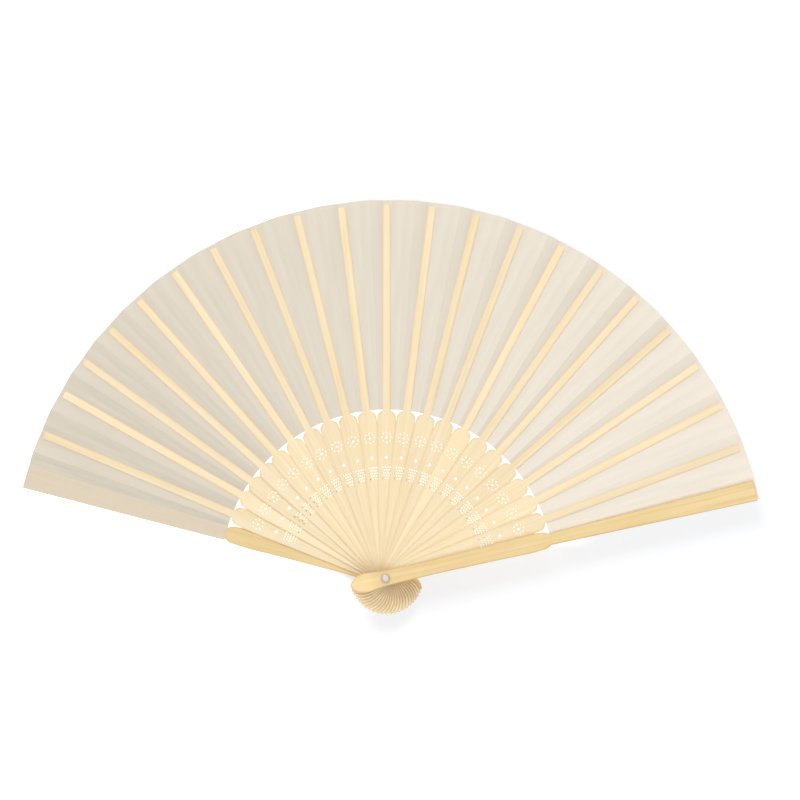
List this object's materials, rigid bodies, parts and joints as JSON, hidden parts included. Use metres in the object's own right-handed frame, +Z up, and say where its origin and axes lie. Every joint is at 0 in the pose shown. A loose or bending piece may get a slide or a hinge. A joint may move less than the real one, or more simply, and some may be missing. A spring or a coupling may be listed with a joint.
{
  "type": "folding hand fan",
  "caption": "Open folding hand fan: pierced wooden sticks between two guards on one rivet carry a pleated cloth leaf, and all fold together into one stack.",
  "frame": {"origin": "where the pivot's axis meets the plane of the rear guard's outer face, which is the face that lies on a table", "axes": "+X to the right of the open fan, +Y along its middle from the pivot to the leaf, +Z up the rivet from the rear guard to the front guard"},
  "size_m": [0.3726, 0.2092, 0.022],
  "materials": {
    "guard_wood": "smooth waxed bamboo with long straight grain",
    "stick_wood": "smooth pale bamboo",
    "leaf_cloth": "fine thin silk-like cloth, slightly sheer",
    "rivet_metal": "polished",
    "washer_metal": "satin"
  },
  "bodies": {
    "rear_guard": {"rear_guard": "guard_wood", "leaf_end_rear": "leaf_cloth", "rivet": "rivet_metal", "rear_washer": "washer_metal", "front_washer": "washer_metal"},
    "stick_01": {"stick_01": "stick_wood", "leaf_pleat_01": "leaf_cloth"},
    "stick_02": {"stick_02": "stick_wood", "leaf_pleat_02": "leaf_cloth"},
    "stick_03": {"stick_03": "stick_wood", "leaf_pleat_03": "leaf_cloth"},
    "stick_04": {"stick_04": "stick_wood", "leaf_pleat_04": "leaf_cloth"},
    "stick_05": {"stick_05": "stick_wood", "leaf_pleat_05": "leaf_cloth"},
    "stick_06": {"stick_06": "stick_wood", "leaf_pleat_06": "leaf_cloth"},
    "stick_07": {"stick_07": "stick_wood", "leaf_pleat_07": "leaf_cloth"},
    "stick_08": {"stick_08": "stick_wood", "leaf_pleat_08": "leaf_cloth"},
    "stick_09": {"stick_09": "stick_wood", "leaf_pleat_09": "leaf_cloth"},
    "stick_10": {"stick_10": "stick_wood", "leaf_pleat_10": "leaf_cloth"},
    "stick_11": {"stick_11": "stick_wood", "leaf_pleat_11": "leaf_cloth"},
    "stick_12": {"stick_12": "stick_wood", "leaf_pleat_12": "leaf_cloth"},
    "stick_13": {"stick_13": "stick_wood", "leaf_pleat_13": "leaf_cloth"},
    "stick_14": {"stick_14": "stick_wood", "leaf_pleat_14": "leaf_cloth"},
    "stick_15": {"stick_15": "stick_wood", "leaf_pleat_15": "leaf_cloth"},
    "stick_16": {"stick_16": "stick_wood", "leaf_pleat_16": "leaf_cloth"},
    "stick_17": {"stick_17": "stick_wood", "leaf_pleat_17": "leaf_cloth"},
    "stick_18": {"stick_18": "stick_wood", "leaf_pleat_18": "leaf_cloth"},
    "stick_19": {"stick_19": "stick_wood", "leaf_pleat_19": "leaf_cloth"},
    "stick_20": {"stick_20": "stick_wood", "leaf_pleat_20": "leaf_cloth"},
    "stick_21": {"stick_21": "stick_wood", "leaf_pleat_21": "leaf_cloth"},
    "front_guard": {"front_guard": "guard_wood", "leaf_end_front": "leaf_cloth"}
  },
  "joints": [
    {"name": "stick_01_hinge", "type": "hinge", "parent": "rear_guard", "child": "stick_01", "pos_m": [0, 0, 0], "axis": [0, 0, 1], "range_deg": [0, 6.97]},
    {"name": "stick_02_hinge", "type": "hinge", "parent": "stick_01", "child": "stick_02", "pos_m": [0, 0, 0], "axis": [0, 0, 1], "range_deg": [0, 6.97]},
    {"name": "stick_03_hinge", "type": "hinge", "parent": "stick_02", "child": "stick_03", "pos_m": [0, 0, 0], "axis": [0, 0, 1], "range_deg": [0, 5.9]},
    {"name": "stick_04_hinge", "type": "hinge", "parent": "stick_03", "child": "stick_04", "pos_m": [0, 0, 0], "axis": [0, 0, 1], "range_deg": [0, 6.35]},
    {"name": "stick_05_hinge", "type": "hinge", "parent": "stick_04", "child": "stick_05", "pos_m": [0, 0, 0], "axis": [0, 0, 1], "range_deg": [0, 6.3]},
    {"name": "stick_06_hinge", "type": "hinge", "parent": "stick_05", "child": "stick_06", "pos_m": [0, 0, 0], "axis": [0, 0, 1], "range_deg": [0, 6.97]},
    {"name": "stick_07_hinge", "type": "hinge", "parent": "stick_06", "child": "stick_07", "pos_m": [0, 0, 0], "axis": [0, 0, 1], "range_deg": [0, 6.97]},
    {"name": "stick_08_hinge", "type": "hinge", "parent": "stick_07", "child": "stick_08", "pos_m": [0, 0, 0], "axis": [0, 0, 1], "range_deg": [0, 6.97]},
    {"name": "stick_09_hinge", "type": "hinge", "parent": "stick_08", "child": "stick_09", "pos_m": [0, 0, 0], "axis": [0, 0, 1], "range_deg": [0, 6.97]},
    {"name": "stick_10_hinge", "type": "hinge", "parent": "stick_09", "child": "stick_10", "pos_m": [0, 0, 0], "axis": [0, 0, 1], "range_deg": [0, 6.97]},
    {"name": "stick_11_hinge", "type": "hinge", "parent": "stick_10", "child": "stick_11", "pos_m": [0, 0, 0], "axis": [0, 0, 1], "range_deg": [0, 6.97]},
    {"name": "stick_12_hinge", "type": "hinge", "parent": "stick_11", "child": "stick_12", "pos_m": [0, 0, 0], "axis": [0, 0, 1], "range_deg": [0, 6.97]},
    {"name": "stick_13_hinge", "type": "hinge", "parent": "stick_12", "child": "stick_13", "pos_m": [0, 0, 0], "axis": [0, 0, 1], "range_deg": [0, 6.97]},
    {"name": "stick_14_hinge", "type": "hinge", "parent": "stick_13", "child": "stick_14", "pos_m": [0, 0, 0], "axis": [0, 0, 1], "range_deg": [0, 6.97]},
    {"name": "stick_15_hinge", "type": "hinge", "parent": "stick_14", "child": "stick_15", "pos_m": [0, 0, 0], "axis": [0, 0, 1], "range_deg": [0, 6.97]},
    {"name": "stick_16_hinge", "type": "hinge", "parent": "stick_15", "child": "stick_16", "pos_m": [0, 0, 0], "axis": [0, 0, 1], "range_deg": [0, 6.97]},
    {"name": "stick_17_hinge", "type": "hinge", "parent": "stick_16", "child": "stick_17", "pos_m": [0, 0, 0], "axis": [0, 0, 1], "range_deg": [0, 6.97]},
    {"name": "stick_18_hinge", "type": "hinge", "parent": "stick_17", "child": "stick_18", "pos_m": [0, 0, 0], "axis": [0, 0, 1], "range_deg": [0, 6.97]},
    {"name": "stick_19_hinge", "type": "hinge", "parent": "stick_18", "child": "stick_19", "pos_m": [0, 0, 0], "axis": [0, 0, 1], "range_deg": [0, 6.97]},
    {"name": "stick_20_hinge", "type": "hinge", "parent": "stick_19", "child": "stick_20", "pos_m": [0, 0, 0], "axis": [0, 0, 1], "range_deg": [0, 6.97]},
    {"name": "stick_21_hinge", "type": "hinge", "parent": "stick_20", "child": "stick_21", "pos_m": [0, 0, 0], "axis": [0, 0, 1], "range_deg": [0, 6.97]},
    {"name": "front_guard_hinge", "type": "hinge", "parent": "stick_21", "child": "front_guard", "pos_m": [0, 0, 0], "axis": [0, 0, 1], "range_deg": [0, 6.97]}
  ],
  "couplings": [
    {"joint": "stick_02_hinge", "follows": "stick_01_hinge", "ratio": 1},
    {"joint": "stick_03_hinge", "follows": "stick_01_hinge", "ratio": 0.84649},
    {"joint": "stick_04_hinge", "follows": "stick_01_hinge", "ratio": 0.91105},
    {"joint": "stick_05_hinge", "follows": "stick_01_hinge", "ratio": 0.90387},
    {"joint": "stick_06_hinge", "follows": "stick_01_hinge", "ratio": 1},
    {"joint": "stick_07_hinge", "follows": "stick_01_hinge", "ratio": 1},
    {"joint": "stick_08_hinge", "follows": "stick_01_hinge", "ratio": 1},
    {"joint": "stick_09_hinge", "follows": "stick_01_hinge", "ratio": 1},
    {"joint": "stick_10_hinge", "follows": "stick_01_hinge", "ratio": 1},
    {"joint": "stick_11_hinge", "follows": "stick_01_hinge", "ratio": 1},
    {"joint": "stick_12_hinge", "follows": "stick_01_hinge", "ratio": 1},
    {"joint": "stick_13_hinge", "follows": "stick_01_hinge", "ratio": 1},
    {"joint": "stick_14_hinge", "follows": "stick_01_hinge", "ratio": 1},
    {"joint": "stick_15_hinge", "follows": "stick_01_hinge", "ratio": 1},
    {"joint": "stick_16_hinge", "follows": "stick_01_hinge", "ratio": 1},
    {"joint": "stick_17_hinge", "follows": "stick_01_hinge", "ratio": 1},
    {"joint": "stick_18_hinge", "follows": "stick_01_hinge", "ratio": 1},
    {"joint": "stick_19_hinge", "follows": "stick_01_hinge", "ratio": 1},
    {"joint": "stick_20_hinge", "follows": "stick_01_hinge", "ratio": 1},
    {"joint": "stick_21_hinge", "follows": "stick_01_hinge", "ratio": 1},
    {"joint": "front_guard_hinge", "follows": "stick_01_hinge", "ratio": 1}
  ]
}
